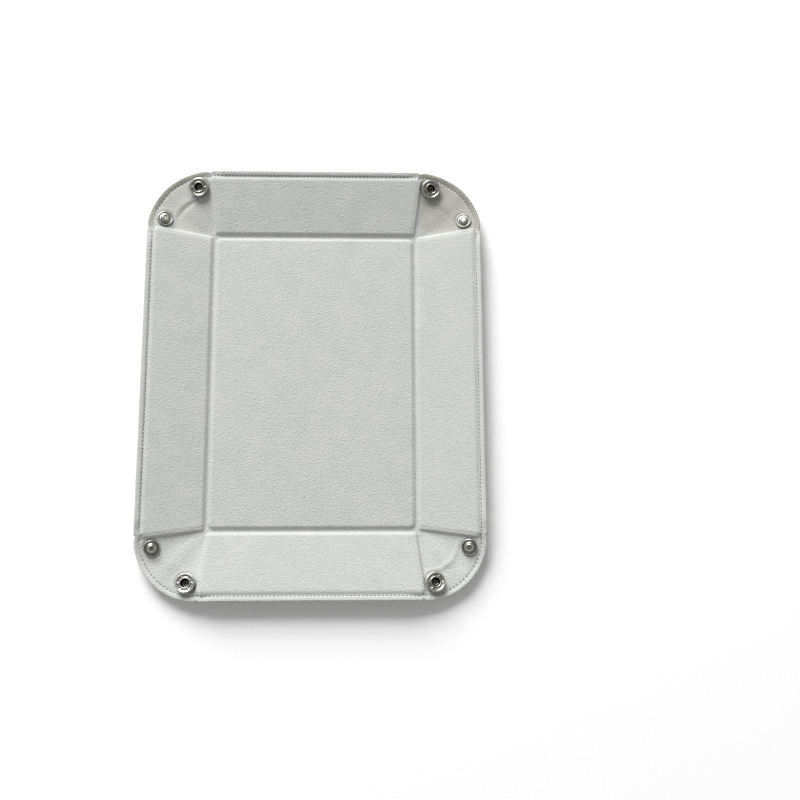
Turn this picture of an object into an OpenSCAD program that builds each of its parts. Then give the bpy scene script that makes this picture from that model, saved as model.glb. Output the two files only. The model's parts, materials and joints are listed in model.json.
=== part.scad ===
// Folding dice tray.
// A board-stiffened floor, four board-stiffened walls and four soft fold-in corners that are
// held by press studs. Every layer is drawn lying flat and is then folded to the rest pose, so
// the fold angles below are the only thing that changes between the open and the closed tray.

/* [Overall size] */
// Width of the flat tray, rim to rim (mm)
tray_w = 215; // [150:1:300]
// Length of the flat tray, rim to rim (mm)
tray_l = 275; // [180:1:380]
// Height of a wall, hinge to rim (mm)
wall_h = 43; // [32:1:60]
// Radius of the outer corners (mm)
corner_r = 40; // [30:1:43]

/* [Layers] */
// Thickness of the backing under the boards (mm)
backing_t = 0.8; // [0.5:0.1:1.0]
// Thickness of the stiff boards (mm)
board_t = 1.6; // [1.2:0.1:2.4]
// Thickness of the lining over the boards (mm)
lining_t = 0.8; // [0.5:0.1:1.0]
// Height of the fold lines above the underside, where backing and lining meet (mm)
fold_z = 1.3; // [1.0:0.1:1.6]

/* [Folding] */
// Angle of the walls at rest (degrees)
rest_angle = 10; // [0:1:60]
// Outward slant of the creases between the walls and the corners (degrees)
crease_slant = 8; // [4:1:12]
// Corner cut off the floor, where the middle fold of a corner is hinged (mm)
floor_cut = 4; // [3:0.5:6]

/* [Margins] */
// Board edge to hinge line (mm)
board_to_hinge = 2.8; // [2.4:0.1:5]
// Board edge to the slanted creases (mm)
board_to_crease = 1.5; // [1.2:0.1:4]
// Board edge to the rim (mm)
board_to_rim = 5; // [4:0.5:9]
// Lining edge to hinge line, on the side that closes when a wall folds up (mm)
lining_to_hinge = 1.0; // [0.8:0.1:1.6]
// Backing edge to the slanted creases, on the side that closes (mm)
backing_to_crease = 0.6; // [0.5:0.1:1.2]
// Gap at a fold line on the side that opens (mm)
open_gap = 0.1; // [0.05:0.05:0.3]
// Width of the middle fold strip in every corner (mm)
spine_w = 3; // [2:0.1:3.2]

/* [Press studs] */
// Distance of a press stud from the lower end of its crease (mm)
snap_reach = 35; // [28:0.5:38]
// Angle between the crease and the line to the press stud (degrees)
snap_angle = 16; // [12:1:20]
// Outer diameter of the socket (mm)
socket_d = 12.2; // [11:0.1:13]
// Diameter of the hole in the socket (mm)
socket_bore_d = 5.9; // [5.6:0.1:6.4]
// Outer diameter of the stud flange (mm)
stud_d = 9.8; // [8.5:0.1:11]
// Largest diameter of the stud head (mm)
head_d = 5; // [4.6:0.1:5.2]

/* [Hidden] */
floor_w = tray_w - 2 * wall_h;
floor_l = tray_l - 2 * wall_h;
top_z = backing_t + board_t + lining_t;
arc_c = wall_h - corner_r;
// Middle fold and corner fold that keep the corner closed for a given wall angle.
fold_a = (sin(crease_slant) + cos(crease_slant) * cos(rest_angle)) / sqrt(2);
fold_b = cos(crease_slant) * sin(rest_angle);
spine_rest = atan2(fold_b, fold_a)
    - acos(min(1, cos(45 - crease_slant) / norm([fold_a, fold_b])));
diag_v = [cos(spine_rest) / sqrt(2), cos(spine_rest) / sqrt(2), sin(spine_rest)];
crease_v = [sin(crease_slant), cos(crease_slant) * cos(rest_angle), fold_b];
half_n = cross(diag_v, crease_v);
wall_n = [0, -sin(rest_angle), cos(rest_angle)];
gusset_rest = acos(min(1, (half_n * wall_n) / norm(half_n)));
snap_at = snap_reach * [sin(crease_slant + snap_angle), cos(crease_slant + snap_angle)];
post_r = 1.2;
barrel_r = 1.6;
lining_col = [0.80, 0.81, 0.79];
backing_col = [0.86, 0.86, 0.84];
board_col = [0.72, 0.64, 0.50];
metal_col = [0.74, 0.75, 0.77];
$fn = 64;

// ---------- flat outlines ----------

// Floor outline, moved in by i from the hinge lines and from the cut corners.
module floor_2d(i) {
    x = floor_w / 2 - i;
    y = floor_l / 2 - i;
    k = floor_cut - i * (2 - sqrt(2));
    polygon([[x, y - k], [x - k, y], [k - x, y], [-x, y - k],
             [-x, k - y], [k - x, -y], [x - k, -y], [x, k - y]]);
}

// Half length of a wall at height v above its hinge, moved in by k from the crease.
function wall_u(len, v, k) =
    len / 2 - floor_cut + v * tan(crease_slant) - k / cos(crease_slant);

// Wall outline: moved in by h from the hinge, k from the creases, r from the rim.
module wall_2d(len, h, k, r) {
    u1 = wall_u(len, h, k);
    u2 = wall_u(len, wall_h - r, k);
    polygon([[-u1, h], [u1, h], [u2, wall_h - r], [-u2, wall_h - r]]);
}

module slab(z0, z1) translate([0, 0, z0]) linear_extrude(z1 - z0) children();

// ---------- where things go ----------

// A wall stands on local x along its hinge, local y up the wall. turn 0 is the back wall.
module at_wall(turn) {
    reach = (turn == 0 || turn == 180) ? floor_l / 2 : floor_w / 2;
    rotate([0, 0, turn]) translate([0, reach, fold_z]) rotate([rest_angle, 0, 0])
        translate([0, 0, -fold_z]) children();
}

function wall_len(turn) = (turn == 0 || turn == 180) ? floor_w : floor_l;

// A corner half hangs on the end of a wall: end +1 or -1 along local x. Its own zero is the
// lower end of the crease.
module at_half(turn, end) {
    at_wall(turn) mirror([end < 0 ? 1 : 0, 0, 0])
        translate([wall_len(turn) / 2 - floor_cut, 0, fold_z])
        rotate(a = gusset_rest, v = [sin(crease_slant), cos(crease_slant), 0])
        translate([0, 0, -fold_z]) children();
}

// A middle fold strip: local x runs outwards along the diagonal of the corner.
module at_spine(sx, sy) {
    mirror([sx < 0 ? 1 : 0, 0, 0]) mirror([0, sy < 0 ? 1 : 0, 0])
        translate([floor_w / 2 - floor_cut / 2, floor_l / 2 - floor_cut / 2, fold_z])
        rotate([0, 0, 45]) rotate([0, -spine_rest, 0])
        translate([0, 0, -fold_z]) children();
}

// The centre of a press stud, zero on the top face of the lining.
module at_snap(turn, end) {
    at_half(turn, end) translate([snap_at.x, snap_at.y, fold_z + lining_t]) children();
}

// ---------- layers of the stiff panels ----------

// Lining of a panel: children 0 whole outline, 1 grown board outline, 2 board outline.
module lining_layer() {
    difference() {
        union() {
            slab(fold_z, fold_z + lining_t) children(0);
            slab(fold_z, top_z) children(1);
        }
        slab(0, backing_t + board_t) children(2);
    }
}

// Backing of a panel: children 0 whole outline, 1 grown board outline, 2 board outline.
module backing_layer() {
    difference() {
        union() {
            slab(fold_z - backing_t, fold_z) children(0);
            slab(0, backing_t) children(1);
        }
        slab(backing_t, top_z) children(2);
    }
}

module wall_board(turn) {
    len = wall_len(turn);
    color(board_col) at_wall(turn) slab(backing_t, backing_t + board_t)
        wall_2d(len, board_to_hinge, board_to_crease, board_to_rim);
}

module wall_lining(turn) {
    len = wall_len(turn);
    color(lining_col) at_wall(turn) lining_layer() {
        wall_2d(len, lining_to_hinge, open_gap, 0);
        wall_2d(len, board_to_hinge - lining_t, board_to_crease - lining_t,
                board_to_rim - lining_t);
        wall_2d(len, board_to_hinge, board_to_crease, board_to_rim);
    }
}

module wall_backing(turn) {
    len = wall_len(turn);
    color(backing_col) at_wall(turn) backing_layer() {
        wall_2d(len, open_gap, backing_to_crease, 0);
        wall_2d(len, board_to_hinge - 0.5, board_to_crease - 0.5, board_to_rim - 0.5);
        wall_2d(len, board_to_hinge, board_to_crease, board_to_rim);
    }
}

// ---------- layers of the soft corners ----------

// One half of a corner: from the crease (moved in by k) to the middle fold, out to the rim.
module half_layer(z0, z1, k, hole_r) {
    g = 0.3;
    // Lower tip: where the moved crease and the moved diagonal meet.
    cr = [cos(crease_slant), -sin(crease_slant)] * k;
    dg = [-1, 1] / sqrt(2) * g;
    cd = [sin(crease_slant), cos(crease_slant)];
    dd = [1, 1] / sqrt(2);
    t = ((dg.x - cr.x) * dd.y - (dg.y - cr.y) * dd.x) / (cd.x * dd.y - cd.y * dd.x);
    tip = cr + cd * t;
    top = cr + cd * ((wall_h - cr.y) / cd.y);
    far = dg + dd * (wall_h * sqrt(2) - dg.y * sqrt(2));
    c = [floor_cut + arc_c, arc_c];
    difference() {
        intersection() {
            slab(z0, z1) polygon([tip, top, far]);
            union() {
                translate([c.x, c.y, z0]) cylinder(r = corner_r, h = z1 - z0, $fn = 180);
                translate([-5, -5, z0]) cube([c.x + 5, wall_h + 10, z1 - z0]);
            }
        }
        translate([snap_at.x, snap_at.y, z0 - 1]) cylinder(r = hole_r, h = z1 - z0 + 2);
    }
}

module gusset_lining(turn, end, hole_r) {
    color(lining_col) at_half(turn, end)
        half_layer(fold_z, fold_z + lining_t, open_gap, hole_r);
}

module gusset_backing(turn, end, hole_r) {
    color(backing_col) at_half(turn, end)
        half_layer(fold_z - backing_t, fold_z, backing_to_crease, hole_r);
}

// The strip between the two halves, from the floor to the rim.
module spine_layer(z0, z1, gap) {
    c = (floor_cut / 2 + arc_c) * sqrt(2);
    intersection() {
        translate([gap, -spine_w / 2, z0]) cube([wall_h * 2, spine_w, z1 - z0]);
        translate([c, 0, z0]) cylinder(r = corner_r, h = z1 - z0, $fn = 180);
    }
}

module spine_lining(sx, sy) {
    color(lining_col) at_spine(sx, sy) spine_layer(fold_z, fold_z + lining_t, 0.6);
}

module spine_backing(sx, sy) {
    color(backing_col) at_spine(sx, sy) spine_layer(fold_z - backing_t, fold_z, open_gap);
}

// ---------- press studs, zero on the top face of the lining ----------

// Ring with a flat base, a rolled outer edge and a lip over the cavity.
module socket_body() {
    r = socket_d / 2;
    b = socket_bore_d / 2;
    color(metal_col) rotate_extrude($fn = 72)
        polygon([[barrel_r, 0], [r - 0.5, 0], [r, 0.5], [r, 2.3], [r - 0.35, 2.85], [r - 0.9, 3.1],
                 [b + 0.9, 3.1], [b + 0.2, 2.9], [b, 2.6], [b, 2.3], [3.8, 2.3], [3.8, 0.4],
                 [barrel_r, 0.4]]);
}

// Open wire ring under the lip, which grips the neck of the stud.
module spring_body() {
    color(metal_col) rotate([0, 0, 15]) rotate_extrude(angle = 330, $fn = 72)
        translate([2.75, 1.7]) square([0.6, 0.6]);
}

// Domed cap on the back with the hollow barrel that is flared over the socket base.
module cap_body() {
    f = -lining_t - backing_t;
    color(metal_col) rotate_extrude($fn = 72)
        polygon([[0, f - 1.3], [2.5, f - 1.2], [4.6, f - 0.85], [5.7, f - 0.4], [6, f],
                 [barrel_r, f], [barrel_r, 0.4], [2.2, 0.4], [2.2, 0.65], [1.95, 0.8], [1, 0.8],
                 [1, f + 0.4], [0, f + 0.4]]);
}

// Flange with the domed, hollow head.
module stud_body() {
    r = stud_d / 2;
    h = head_d / 2;
    color(metal_col) rotate_extrude($fn = 72)
        polygon([[post_r, 0], [r - 0.2, 0], [r, 0.2], [r, 0.5], [r - 0.3, 0.8], [h + 0.5, 0.8],
                 [h - 0.1, 1.0], [h - 0.25, 1.3], [h, 1.8], [h - 0.05, 2.2], [h - 0.4, 2.7],
                 [h - 0.9, 2.9], [post_r, 2.9]]);
}

// Flat-headed post from the back, with a shallow recess in its head.
module post_body() {
    f = -lining_t - backing_t;
    color(metal_col) rotate_extrude($fn = 72)
        polygon([[0, f - 0.5], [1.2, f - 0.5], [1.5, f - 1], [3.4, f - 0.95], [4.7, f - 0.6],
                 [5, f - 0.25], [5, f], [post_r, f], [post_r, 1.8], [post_r - 0.3, 2], [0, 2]]);
}

// ---------- sub-parts ----------

module floor_board() color(board_col) slab(backing_t, backing_t + board_t)
    floor_2d(board_to_hinge);
module floor_lining() color(lining_col) lining_layer() {
    floor_2d(lining_to_hinge);
    floor_2d(board_to_hinge - lining_t);
    floor_2d(board_to_hinge);
}
module floor_backing() color(backing_col) backing_layer() {
    floor_2d(open_gap);
    floor_2d(board_to_hinge - 0.5);
    floor_2d(board_to_hinge);
}

module wall_back_board() wall_board(0);
module wall_back_lining() wall_lining(0);
module wall_back_backing() wall_backing(0);
module wall_left_board() wall_board(90);
module wall_left_lining() wall_lining(90);
module wall_left_backing() wall_backing(90);
module wall_front_board() wall_board(180);
module wall_front_lining() wall_lining(180);
module wall_front_backing() wall_backing(180);
module wall_right_board() wall_board(270);
module wall_right_lining() wall_lining(270);
module wall_right_backing() wall_backing(270);

// Back left corner: socket half on the back wall, stud half on the left wall.
module gusset_a_bl_lining() gusset_lining(0, -1, barrel_r + 0.1);
module gusset_a_bl_backing() gusset_backing(0, -1, barrel_r + 0.1);
module gusset_b_bl_lining() gusset_lining(90, 1, post_r + 0.1);
module gusset_b_bl_backing() gusset_backing(90, 1, post_r + 0.1);
module spine_bl_lining() spine_lining(-1, 1);
module spine_bl_backing() spine_backing(-1, 1);
module socket_bl() at_snap(0, -1) socket_body();
module socket_cap_bl() at_snap(0, -1) cap_body();
module socket_spring_bl() at_snap(0, -1) spring_body();
module stud_bl() at_snap(90, 1) stud_body();
module stud_post_bl() at_snap(90, 1) post_body();

// Back right corner.
module gusset_a_br_lining() gusset_lining(0, 1, barrel_r + 0.1);
module gusset_a_br_backing() gusset_backing(0, 1, barrel_r + 0.1);
module gusset_b_br_lining() gusset_lining(270, -1, post_r + 0.1);
module gusset_b_br_backing() gusset_backing(270, -1, post_r + 0.1);
module spine_br_lining() spine_lining(1, 1);
module spine_br_backing() spine_backing(1, 1);
module socket_br() at_snap(0, 1) socket_body();
module socket_cap_br() at_snap(0, 1) cap_body();
module socket_spring_br() at_snap(0, 1) spring_body();
module stud_br() at_snap(270, -1) stud_body();
module stud_post_br() at_snap(270, -1) post_body();

// Front left corner.
module gusset_a_fl_lining() gusset_lining(180, 1, barrel_r + 0.1);
module gusset_a_fl_backing() gusset_backing(180, 1, barrel_r + 0.1);
module gusset_b_fl_lining() gusset_lining(90, -1, post_r + 0.1);
module gusset_b_fl_backing() gusset_backing(90, -1, post_r + 0.1);
module spine_fl_lining() spine_lining(-1, -1);
module spine_fl_backing() spine_backing(-1, -1);
module socket_fl() at_snap(180, 1) socket_body();
module socket_cap_fl() at_snap(180, 1) cap_body();
module socket_spring_fl() at_snap(180, 1) spring_body();
module stud_fl() at_snap(90, -1) stud_body();
module stud_post_fl() at_snap(90, -1) post_body();

// Front right corner.
module gusset_a_fr_lining() gusset_lining(180, -1, barrel_r + 0.1);
module gusset_a_fr_backing() gusset_backing(180, -1, barrel_r + 0.1);
module gusset_b_fr_lining() gusset_lining(270, 1, post_r + 0.1);
module gusset_b_fr_backing() gusset_backing(270, 1, post_r + 0.1);
module spine_fr_lining() spine_lining(1, -1);
module spine_fr_backing() spine_backing(1, -1);
module socket_fr() at_snap(180, -1) socket_body();
module socket_cap_fr() at_snap(180, -1) cap_body();
module socket_spring_fr() at_snap(180, -1) spring_body();
module stud_fr() at_snap(270, 1) stud_body();
module stud_post_fr() at_snap(270, 1) post_body();

floor_board();
floor_lining();
floor_backing();
wall_back_board();
wall_back_lining();
wall_back_backing();
wall_front_board();
wall_front_lining();
wall_front_backing();
wall_left_board();
wall_left_lining();
wall_left_backing();
wall_right_board();
wall_right_lining();
wall_right_backing();
gusset_a_bl_lining();
gusset_a_bl_backing();
gusset_b_bl_lining();
gusset_b_bl_backing();
spine_bl_lining();
spine_bl_backing();
gusset_a_br_lining();
gusset_a_br_backing();
gusset_b_br_lining();
gusset_b_br_backing();
spine_br_lining();
spine_br_backing();
gusset_a_fl_lining();
gusset_a_fl_backing();
gusset_b_fl_lining();
gusset_b_fl_backing();
spine_fl_lining();
spine_fl_backing();
gusset_a_fr_lining();
gusset_a_fr_backing();
gusset_b_fr_lining();
gusset_b_fr_backing();
spine_fr_lining();
spine_fr_backing();
socket_bl();
socket_cap_bl();
socket_spring_bl();
stud_bl();
stud_post_bl();
socket_br();
socket_cap_br();
socket_spring_br();
stud_br();
stud_post_br();
socket_fl();
socket_cap_fl();
socket_spring_fl();
stud_fl();
stud_post_fl();
socket_fr();
socket_cap_fr();
socket_spring_fr();
stud_fr();
stud_post_fr();
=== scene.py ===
# %% [markdown]
# # A folding dice tray
#
# The tray is one sandwich of cloth: a suede-like lining on top, a coated cloth underneath, and
# between them a stiff board in the floor and in each of the four walls. The corners hold no
# board, so they fold, and a press stud holds each one shut. This lesson builds the cloth, the
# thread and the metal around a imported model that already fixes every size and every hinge.
#
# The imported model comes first, because each new piece has to ride on one of its bodies.

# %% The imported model
import json
import math

import bmesh
import bpy
import numpy as np
from mathutils import Matrix, Vector


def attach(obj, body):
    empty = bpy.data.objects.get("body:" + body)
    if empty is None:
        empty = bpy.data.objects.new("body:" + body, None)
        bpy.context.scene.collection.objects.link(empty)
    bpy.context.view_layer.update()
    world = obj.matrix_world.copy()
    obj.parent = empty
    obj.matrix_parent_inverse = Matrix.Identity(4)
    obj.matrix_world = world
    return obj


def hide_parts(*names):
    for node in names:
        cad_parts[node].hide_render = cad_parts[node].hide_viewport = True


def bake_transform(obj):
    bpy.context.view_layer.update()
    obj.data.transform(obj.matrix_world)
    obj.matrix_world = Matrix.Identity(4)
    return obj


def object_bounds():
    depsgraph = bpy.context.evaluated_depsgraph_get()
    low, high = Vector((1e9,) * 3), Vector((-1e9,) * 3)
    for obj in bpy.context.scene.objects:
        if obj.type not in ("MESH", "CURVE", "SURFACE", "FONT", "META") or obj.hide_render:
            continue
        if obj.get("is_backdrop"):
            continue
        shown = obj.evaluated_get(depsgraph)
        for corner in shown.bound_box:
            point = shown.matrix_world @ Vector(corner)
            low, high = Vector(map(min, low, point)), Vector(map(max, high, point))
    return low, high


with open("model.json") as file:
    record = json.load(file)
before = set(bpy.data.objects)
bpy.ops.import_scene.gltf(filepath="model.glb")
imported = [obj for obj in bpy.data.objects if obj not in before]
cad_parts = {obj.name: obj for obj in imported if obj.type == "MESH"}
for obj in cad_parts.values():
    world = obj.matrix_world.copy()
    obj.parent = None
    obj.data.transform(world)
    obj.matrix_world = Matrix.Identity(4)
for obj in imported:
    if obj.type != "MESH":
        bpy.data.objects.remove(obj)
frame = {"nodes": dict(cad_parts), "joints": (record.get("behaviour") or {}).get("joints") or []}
cad_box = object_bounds()
joints = {j["name"]: j for j in frame["joints"]}

# %% [markdown]
# ## Sizes and fold angles
#
# The hinges say where the fold lines run, so they are read from the joints and not typed in
# again. All fold lines lie in one plane, where the backing and the lining meet. The tray is
# stored lying almost open: the walls stand ten degrees up, and the corner folds follow from
# that, because a corner is a closed ring of creases.

# %% Sizes in metres, and the three fold angles
# HALF_W and HALF_L reach to the walls' hinges, CUT is what the middle fold takes off each end of
# a wall, and ARC is how far up the wall the corner's round has its centre.
MM = 0.001
HALF_W = joints["fold_wall_right"]["pos_m"][0]
HALF_L = joints["fold_wall_back"]["pos_m"][1]
FOLD_Z = joints["fold_wall_back"]["pos_m"][2]
CUT = HALF_W - joints["fold_gusset_a_br"]["pos_m"][0]
WALL = 43 * MM
CORNER_R = 40 * MM
ARC = WALL - CORNER_R
CLOTH = 0.8 * MM
STITCH_IN = 3.3 * MM
STITCH_PITCH = 2.4 * MM
ROOT2 = math.sqrt(2)

crease_axis = np.array(joints["fold_gusset_a_br"]["axis"])
SLANT = math.asin(crease_axis[0])
TAN_SLANT = math.tan(SLANT)
WALL_FOLD = math.atan2(crease_axis[2], crease_axis[1])
spread = np.array([(crease_axis[0] + crease_axis[1]) / ROOT2, crease_axis[2]])
SPINE_FOLD = math.atan2(spread[1], spread[0]) - math.acos(math.cos(math.pi / 4 - SLANT) / np.hypot(*spread))
sin_fold, cos_fold = math.sin(SPINE_FOLD), math.cos(SPINE_FOLD)
half_normal = np.cross([cos_fold, cos_fold, ROOT2 * sin_fold], crease_axis)
half_normal = half_normal / np.linalg.norm(half_normal)
wall_normal = np.array([0, -math.sin(WALL_FOLD), math.cos(WALL_FOLD)])
middle_normal = np.array([-sin_fold, -sin_fold, ROOT2 * cos_fold]) / ROOT2
HALF_FOLD = math.acos(half_normal @ wall_normal)
MIDDLE_TURN = math.acos(half_normal @ middle_normal)
print("degrees of the wall, the half and the middle fold, and between the last two:",
      [round(math.degrees(angle), 2) for angle in (WALL_FOLD, HALF_FOLD, SPINE_FOLD, MIDDLE_TURN)])

# %% [markdown]
# ## A drawing board for every panel
#
# Each panel is easiest to draw flat. A panel's board has an origin on its fold line, a
# direction a along the fold, a direction b up the panel and a normal n out of the lining. A
# point is then origin + a * A + b * B + height * N, and the folding is done by the directions
# alone. The height is measured from the plane of the fold lines.

# %% Drawing boards for the floor, the walls, the corner halves and the middle folds
TURNS = {"back": 0, "left": 90, "front": 180, "right": 270}


def turned(v, degrees):
    """v turned about the vertical."""
    c, s = math.cos(math.radians(degrees)), math.sin(math.radians(degrees))
    return np.array([c * v[0] - s * v[1], s * v[0] + c * v[1], v[2]])


def wall_board(wall, fold=WALL_FOLD):
    """A wall's drawing board, folded up by the angle given: b and n turn about the fold."""
    turn = TURNS[wall]
    reach, half = (HALF_W, HALF_L) if turn in (90, 270) else (HALF_L, HALF_W)
    c, s = math.cos(fold), math.sin(fold)
    return {"o": turned([0, reach, FOLD_Z], turn), "a": turned([1, 0, 0], turn),
            "b": turned([0, c, s], turn), "n": turned([0, -s, c], turn), "half": half}


def half_board(wall, end):
    """A corner half's drawing board. Its zero is the lower end of the crease, a points away
    from the wall, and the half is turned about the crease, away from the lining side."""
    w = wall_board(wall)
    side = w["a"] * end
    sl, cl = math.sin(SLANT), math.cos(SLANT)
    along = sl * side + cl * w["b"]
    across = cl * side - sl * w["b"]
    c, s = math.cos(HALF_FOLD), math.sin(HALF_FOLD)
    q = c * across - s * w["n"]
    return {"o": w["o"] + side * (w["half"] - CUT), "a": sl * along + cl * q,
            "b": cl * along - sl * q, "n": c * w["n"] + s * across}


def spine_board(sx, sy, fold=SPINE_FOLD):
    """The middle fold's drawing board: a runs outwards along the diagonal, b across it."""
    d = np.array([sx, sy, 0]) / ROOT2
    up = np.array([0, 0, 1.0])
    c, s = math.cos(fold), math.sin(fold)
    return {"o": np.array([sx * (HALF_W - CUT / 2), sy * (HALF_L - CUT / 2), FOLD_Z]),
            "a": c * d + s * up, "b": np.array([-sx, sy, 0]) / ROOT2, "n": c * up - s * d}


def placed(board, a, b, h):
    """Points of the panel: origin + a * A + b * B + height * N, for whole arrays at once."""
    a, b, h = np.broadcast_arrays(a, b, h)
    return (board["o"] + a[..., None] * board["a"] + b[..., None] * board["b"]
            + h[..., None] * board["n"])


FLOOR = {"o": np.array([0, 0, FOLD_Z]), "a": np.array([1.0, 0, 0]), "b": np.array([0, 1.0, 0]),
         "n": np.array([0, 0, 1.0])}
# Each corner's two halves, as a wall and the end of it they fold from, and its x and y signs.
CORNERS = {"bl": ({"a": ("back", -1), "b": ("left", 1)}, -1, 1),
           "br": ({"a": ("back", 1), "b": ("right", -1)}, 1, 1),
           "fl": ({"a": ("front", 1), "b": ("left", -1)}, -1, -1),
           "fr": ({"a": ("front", -1), "b": ("right", 1)}, 1, -1)}
print("drawing boards: floor, 4 walls, 8 corner halves, 4 middle folds")

# %% [markdown]
# ## From arrays to meshes
#
# A sheet is a closed skin: one grid of points for its face, one for its underside, and four
# strips that join their borders. A turned metal piece is a profile carried round an axis, so
# its grid closes on itself. Both go into the mesh with foreach_set, with no loop over points.

# %% Grid helpers


def grid_faces(rows, columns, start=0):
    """Four-sided faces between neighbouring points of a rows by columns grid."""
    index = start + np.arange(rows * columns).reshape(rows, columns)
    return np.stack([index[:-1, :-1], index[1:, :-1], index[1:, 1:], index[:-1, 1:]], -1).reshape(-1, 4)


def mesh_object(name, points, faces, sharp=50):
    """A mesh object from an array of points and one of four-sided faces. Points that coincide
    are merged, the faces are turned outwards, and edges over the sharp angle stay crisp."""
    mesh = bpy.data.meshes.new(name)
    mesh.vertices.add(len(points))
    mesh.vertices.foreach_set("co", np.ascontiguousarray(points, np.float32).ravel())
    mesh.loops.add(faces.size)
    mesh.loops.foreach_set("vertex_index", np.ascontiguousarray(faces, np.int32).ravel())
    mesh.polygons.add(len(faces))
    mesh.polygons.foreach_set("loop_start", np.arange(0, faces.size, 4, dtype=np.int32))
    mesh.update(calc_edges=True)
    work = bmesh.new()
    work.from_mesh(mesh)
    bmesh.ops.remove_doubles(work, verts=work.verts, dist=2e-7)
    bmesh.ops.recalc_face_normals(work, faces=work.faces)
    work.to_mesh(mesh)
    work.free()
    mesh.polygons.foreach_set("use_smooth", np.ones(len(mesh.polygons), bool))
    mesh.set_sharp_from_angle(angle=math.radians(sharp))
    made = bpy.data.objects.new(name, mesh)
    bpy.context.scene.collection.objects.link(made)
    return made


def closed_skin(face, under):
    """Points and faces of a closed skin from two grids that share their borders' order."""
    rows, columns = face.shape[:2]
    count = rows * columns
    i = np.arange(count).reshape(rows, columns)
    border = np.concatenate([i[0, :-1], i[:-1, -1], i[-1, :0:-1], i[:0:-1, 0]])
    after = np.roll(border, -1)
    rim = np.stack([border, after, after + count, border + count], -1)
    points = np.concatenate([face.reshape(-1, 3), under.reshape(-1, 3)])
    return points, np.concatenate([grid_faces(rows, columns), grid_faces(rows, columns, count), rim])


def ticks(length, edge, fine, coarse):
    """Positions from 0 to length, a fine step apart near both ends and coarse in between."""
    near = np.arange(0, edge, fine)
    middle = np.linspace(edge, length - edge, max(2, round((length - 2 * edge) / coarse) + 1))
    return np.concatenate([near, middle, length - near[::-1]])


def step(x):
    """0 below 0, 1 above 1, and 3x^2 - 2x^3 between them."""
    x = np.clip(x, 0, 1)
    return x * x * (3 - 2 * x)


def bump(x, width):
    """A bell: exp(-(x / width)^2)."""
    return np.exp(-(x / width) ** 2)


print("ticks over 10 mm:", len(ticks(10 * MM, 2 * MM, 0.4 * MM, 1 * MM)))

# %% [markdown]
# ## Nodes and colours
#
# Colours are chosen as sRGB hex values, which one function turns to the linear values that a
# shader works with. One small function adds any node with its inputs and its settings.

# %% Material helpers
MULTIPLY = {"data_type": "RGBA", "blend_type": "MULTIPLY"}


def linear(hex_colour):
    """sRGB hex to linear: each channel c becomes ((c + 0.055) / 1.055)^2.4, or c / 12.92."""
    c = np.array([int(hex_colour[i:i + 2], 16) for i in (1, 3, 5)]) / 255
    out = np.where(c <= 0.04045, c / 12.92, ((c + 0.055) / 1.055) ** 2.4)
    return (*map(float, out), 1.0)


def add_node(owner, kind, inputs, settings=None, stops=()):
    """A node of that kind. Each input is a value for its socket, the output that feeds it, or a
    node, whose first output then feeds it. settings are the node's own properties, and stops the
    places and the hex colours or grey levels of a colour ramp."""
    node = owner.node_tree.nodes.new("ShaderNode" + kind)
    for name, value in (settings or {}).items():
        setattr(node, name, value)
    for name, value in inputs.items():
        if isinstance(value, bpy.types.Node):
            value = next(output for output in value.outputs if output.enabled)
        if isinstance(value, bpy.types.NodeSocket):
            owner.node_tree.links.new(value, node.inputs[name])
        else:
            node.inputs[name].default_value = value
    for _ in stops[2:]:
        node.color_ramp.elements.new(0.5)
    for k, (position, colour) in enumerate(stops):
        node.color_ramp.elements[k].position = position
        node.color_ramp.elements[k].color = (
            linear(colour) if isinstance(colour, str) else (colour, colour, colour, 1))
    return node


def new_material(name):
    """An empty node material, and the object coordinates that its patterns read."""
    material = bpy.data.materials.new(name)
    material.use_nodes = True
    material.node_tree.nodes.clear()
    return material, add_node(material, "TexCoord", {}).outputs["Object"]


print("white in linear:", linear("#ffffff")[:3])
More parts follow.
